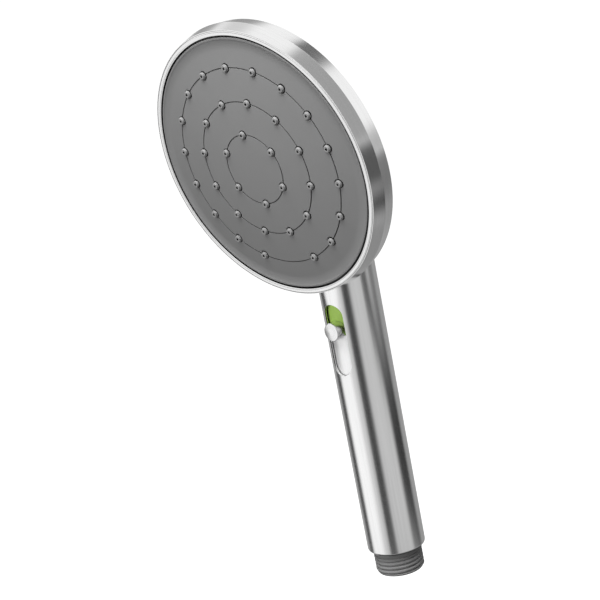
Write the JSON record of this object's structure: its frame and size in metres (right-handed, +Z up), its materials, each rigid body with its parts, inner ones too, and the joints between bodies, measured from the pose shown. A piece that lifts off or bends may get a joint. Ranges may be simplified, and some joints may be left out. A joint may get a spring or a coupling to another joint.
{
  "type": "handheld shower head",
  "caption": "Round hand shower head on a straight brushed steel tube handle, with a domed nozzle face, a flow slider in a slot and a male half-inch hose thread.",
  "frame": {"origin": "centre of the handle's lower end face, where the hose thread comes out", "axes": "+Z up along the handle, -Y towards the side that the spray leaves, +X sideways"},
  "size_m": [0.1148, 0.0574, 0.245],
  "materials": {
    "brushed_shell": "fine circular brushing on the side wall and the back",
    "bright_ring": "bright, lightly polished ring",
    "spray_grey": "matt mid grey, very fine grain",
    "nozzle_rubber": "soft matt light grey",
    "brushed_tube": "fine brushing along the handle",
    "shutter_steel": "fine brushing along the handle",
    "knob_chrome": "polished side, spun end",
    "green_strip": "smooth fresh green",
    "thread_grey": "moulded dark grey",
    "core_plastic": "moulded light grey",
    "slider_plastic": "moulded off white",
    "regulator_plastic": "moulded blue",
    "retainer_plastic": "moulded grey",
    "seal_rubber": "black seal rubber",
    "screw_steel": "plain stainless steel",
    "filter_steel": "fine perforated stainless steel"
  },
  "bodies": {
    "shower_body": {"head_shell": "brushed_shell", "bezel_ring": "bright_ring", "spray_plate": "spray_grey", "nozzle_mat": "nozzle_rubber", "chamber_gasket": "seal_rubber", "chamber_cover": "core_plastic", "chamber_screws": "screw_steel", "spigot_o_rings": "seal_rubber", "neck_elbow": "core_plastic", "elbow_o_rings": "seal_rubber", "handle_tube": "brushed_tube", "tube_end_cap": "brushed_shell", "valve_body": "core_plastic", "indicator_strip": "green_strip", "inlet_connector": "thread_grey", "connector_o_rings": "seal_rubber", "lock_ring": "screw_steel", "flow_regulator": "regulator_plastic", "regulator_o_ring": "seal_rubber", "inlet_filter": "filter_steel", "filter_retainer": "retainer_plastic"},
    "slider": {"shutter_plate": "shutter_steel", "slider_knob": "knob_chrome", "slider_carriage": "slider_plastic", "carriage_rivets": "screw_steel", "valve_spool": "slider_plastic", "spool_o_rings": "seal_rubber"}
  },
  "joints": [
    {"name": "flow_slider", "type": "slide", "parent": "shower_body", "child": "slider", "axis": [0, 0, 1], "range_m": [-0.0154, 0.0069]}
  ]
}
